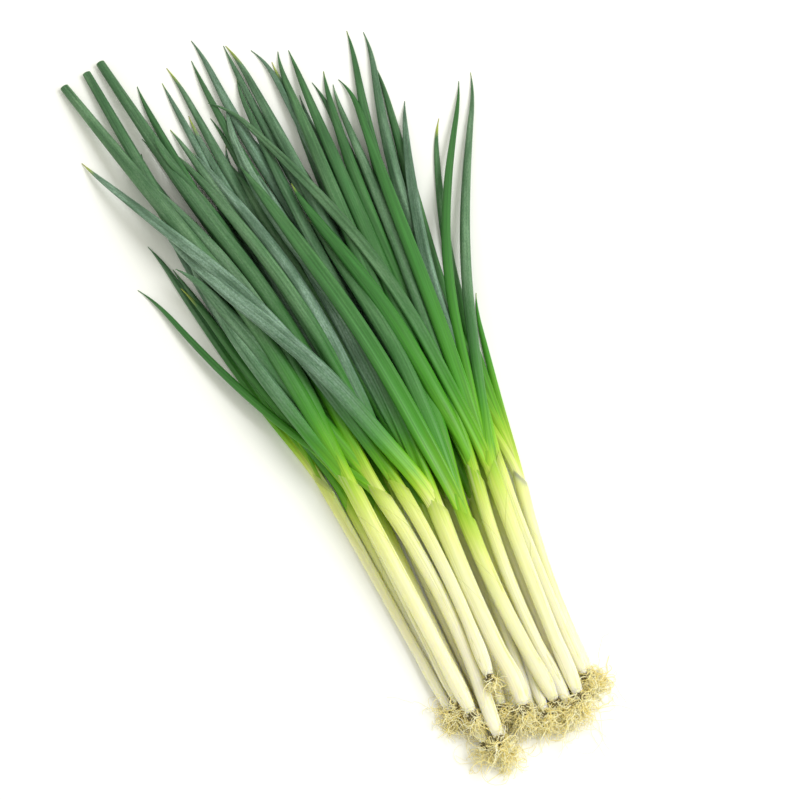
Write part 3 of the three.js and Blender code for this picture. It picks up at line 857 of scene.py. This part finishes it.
for plant in PLANTS:
    rng = np.random.default_rng([SEED, int(plant)])
    shaft = straightened(shaft_strands[plant], ARCED)
    shaft[:, 3] *= PLUMPER if int(plant) <= LOWER_ROW else PLUMP
    shaft[0, 3] = BLUNT * shaft[1, 3]
    shaft_strands[plant] = shaft
    neck = shaft[-1, :3]
    ahead = neck - shaft[-2, :3]
    ahead /= np.linalg.norm(ahead)
    leaves = leaf_strands[plant]
    middle = np.median([lean(leaf, neck, ahead) for leaf in leaves])
    leaves.sort(key=lambda leaf: -abs(lean(leaf, neck, ahead) - middle))
    outer_side = 0 if lean(leaves[0], neck, ahead) > middle else math.pi
    rim = np.append(neck + RIM_AHEAD * ahead, RIM_THINNER * shaft[-1, 3])
    whole = np.vstack([shaft, rim])
    axis, places = smooth(whole)
    greener = BLEACHED.get(plant, rng.uniform(*GREENER))
    to_neck = places[-1] - greener
    sheath_end = rng.uniform(*LOOSE_TO) * places[-1] / MM
    laid = lay(shaft_blank, whole, neck=to_neck, turn=outer_side, sheath_end=sheath_end)
    join(f"white_shaft_{plant}", [laid], f"shaft_{plant}")

    fan = []
    for order, leaf in enumerate(leaves):
        strand, on = rooted_leaf(leaf, axis, places, order)
        cut = leaf[-1, 3] > 0
        broad = leaf[:, 3].max() > BROAD
        young = broad or leaf[:, 3].max() < SLENDER
        if cut:
            strand[-3:, 3] *= CUT_THINNER
        else:
            strand = filled_tip(strand, rng.normal(0, HOOK))
        if broad:
            strand[:, 3] *= BROAD_THINNER
        plump, crease, keel = cut_shapes if cut else pointed_shapes
        creased = 1 if broad else max(0, rng.uniform(*CREASED))
        keeled = max(0, rng.uniform(*KEELED))
        green_from = on - greener + rng.uniform(*SHADED)
        turned = rng.uniform(*TURNED) * (BROAD_TURNED if broad else 1)
        twisted = rng.uniform(*TWISTED) * (BROAD_TWISTED if broad else 1)
        flattened = BROAD_FLATTENED if broad else rng.uniform(*FLATTENED)
        if cut:
            leaf_tone = CUT_TONE
        elif young:
            leaf_tone = YOUNG_TONE
        else:
            leaf_tone = np.clip(rng.normal(YOUNG.get(plant, OLD), TONE_SPREAD), *TONES)
        laid = lay(
            cut_blank if cut else pointed_blank,
            strand,
            shape=plump + creased * crease + keeled * keel,
            neck=green_from,
            turn=turned,
            twist=twisted,
            pressed=PRESSED * flattened,
            unworn=BLOOM_KEPT_IN_PAINTED_SHADE if int(plant) <= LOWER_ROW else 1,
            tone=leaf_tone,
            dried=DRIED[0] if cut else rng.choice(DRIED),
        )
        fan.append(laid)
    join(f"green_leaves_{plant}", fan, f"leaves_{plant}")
print("shafts and leaves are in place")

# %% [markdown]
# ## Crown and roots
# The crown is a ball that is squashed and shaken into lumps. A root is a thin tube of three sides, because
# there are more than two thousand. The stout ones follow the frame, drawn in towards the crown. The fine
# ones between them start on the crown or just off it and curl this way and that, so that they make a
# felt. A few are long curls.

# %% Crown and root blanks
LUMPS = 0.07  # in radii
ROOT_STEPS = 16
ROOT_LENGTH = 12  # of the blank, in radii

bpy.ops.mesh.primitive_uv_sphere_add(segments=18, ring_count=12, radius=1)
crown_blank = bpy.context.object
crown_blank.name = "crown blank"
bpy.ops.object.mode_set(mode="EDIT")
bpy.ops.transform.translate(value=(0, 0, 1))
bpy.ops.transform.vertex_random(offset=LUMPS, uniform=0.4, normal=0.4, seed=5)
leave_edit_mode(crown_blank, sharp_from=80)
crown_blank.data.materials.append(cork)

root_blank = tube_blank("root blank", sides=3, rings=ROOT_STEPS, length=ROOT_LENGTH)
leave_edit_mode(root_blank, sharp_from=95)
root_blank.data.materials.append(thread)

# %% Roots
FINE_ROOTS = 125  # of each plant
COVERED = {"16": 40}  # a plant whose foot lies under its neighbours, with fewer
FELT = {"length": (9, 24), "radius": (0.18, 0.32), "curl": 0.4, "stray": 0.45}  # lengths in mm
CURLS = {"length": (22, 48), "radius": (0.1, 0.15), "curl": 0.3, "stray": 0.2}
LONG_SHARE = 0.03  # of the fine roots are long curls
FAN = math.radians(115)  # how far to each side of the shaft's line a root may start out
RISE = (-0.7, 1.1)  # radians, how steeply it starts out
RESTS = (0.1, 1)  # share of its starting height at which it stops sinking
SINKS = 0.25  # radians more at each step
TAPERS = 0.6  # share of its radius that is gone at its tip
ON_FLOOR = 0.4 * MM  # the lowest that the middle of a fine root lies
ROOT_ON_FLOOR = 0.5 * MM  # the same for a stout root, and for where a fine one starts
DRAWN_IN = 0.6  # length of a stout root over the frame's
STOUT = 0.4  # and its radius
THINNEST_STOUT = 0.12 * MM
STOUT_STRAYS = 1.2 * MM
BEYOND_LOW = 4 * MM  # how far past the low sides of the frame's box the middle of a root may lie
BEYOND_HIGH = 2 * MM  # and past its high sides
low, high = (np.array(corner) for corner in cad_box)


def fine_root(rng, start, backward, kind):
    """A fine root as a strand: it wanders off from the crown, curls and sinks."""
    step = rng.uniform(*kind["length"]) * MM / ROOT_STEPS
    radius = rng.uniform(*kind["radius"]) * MM
    heading = backward + rng.uniform(-FAN, FAN)
    curl = rng.normal(0, kind["curl"])
    pitch = rng.uniform(*RISE)
    rest = rng.uniform(*RESTS) * start[2]
    place = np.array(start)
    strand = [np.append(place, radius)]
    for i in range(ROOT_STEPS):
        level = math.cos(pitch)
        onward = np.array([math.cos(heading) * level, math.sin(heading) * level, math.sin(pitch)])
        place = place + step * onward
        place[2] = max(place[2], ON_FLOOR)
        heading += curl + rng.normal(0, kind["stray"])
        curl += rng.normal(0, 0.4 * kind["stray"])
        if place[2] > rest:
            pitch -= SINKS
        else:
            pitch = 0.3 * pitch + rng.normal(0, kind["stray"])
        strand.append(np.append(place, radius * (1 - TAPERS * i / ROOT_STEPS)))
    strand = np.array(strand)
    strand[:, :2] = np.clip(strand[:, :2], low[:2] - BEYOND_LOW, high[:2] + BEYOND_HIGH)
    return strand


for plant in PLANTS:
    rng = np.random.default_rng([SEED + 1, int(plant)])
    shaft = shaft_strands[plant]
    foot = shaft[0, :3]
    back = foot - shaft[1, :3]
    back /= np.linalg.norm(back)
    girth = 2 * shaft[2, 3]
    crown_length = 1.5 * MM + 0.45 * girth
    crown_radius = 0.43 * girth
    crown = []
    for along, wide in ((-1 * MM, 1), (0.5 * crown_length, 1), (crown_length, 0.8)):
        crown.append(np.append(foot + along * back, wide * crown_radius))
    tuft = [lay(crown_blank, np.array(crown))]
    for root in root_strands[plant]:
        stout = np.vstack([np.append(foot + 0.7 * crown_length * back, root[0, 3]), root])
        stout[1:, :3] += (DRAWN_IN - 1) * (stout[1:, :3] - stout[0, :3])
        stout[1:, :3] += rng.normal(0, STOUT_STRAYS, stout[1:, :3].shape)
        stout[:, 2] = np.maximum(stout[:, 2], ROOT_ON_FLOOR)
        stout[:, 3] = np.maximum(STOUT * stout[:, 3], THINNEST_STOUT)
        tuft.append(lay(root_blank, stout, tone=rng.random(), pressed=1))
    backward = math.atan2(back[1], back[0])
    for _ in range(COVERED.get(plant, FINE_ROOTS)):
        start = foot + rng.uniform(0.25, 1.15) * crown_length * back
        start += rng.normal(0, 0.4, 3) * crown_radius
        start[2] = max(start[2], ROOT_ON_FLOOR)
        kind = CURLS if rng.random() < LONG_SHARE else FELT
        line = fine_root(rng, start, backward, kind)
        tuft.append(lay(root_blank, line, tone=rng.random() if kind is FELT else 0, pressed=1))
    join(f"root_tuft_{plant}", tuft, f"roots_{plant}")
for blank in (shaft_blank, pointed_blank, cut_blank, crown_blank, root_blank):
    bpy.data.objects.remove(blank)
triangles = 0
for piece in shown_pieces():
    triangles += sum(len(polygon.vertices) - 2 for polygon in piece.data.polygons)
print("triangles:", triangles)

# %% [markdown]
# ## Sizes
# The dressed bunch must be as large as the frame says.

# %% Sizes
bpy.context.view_layer.update()
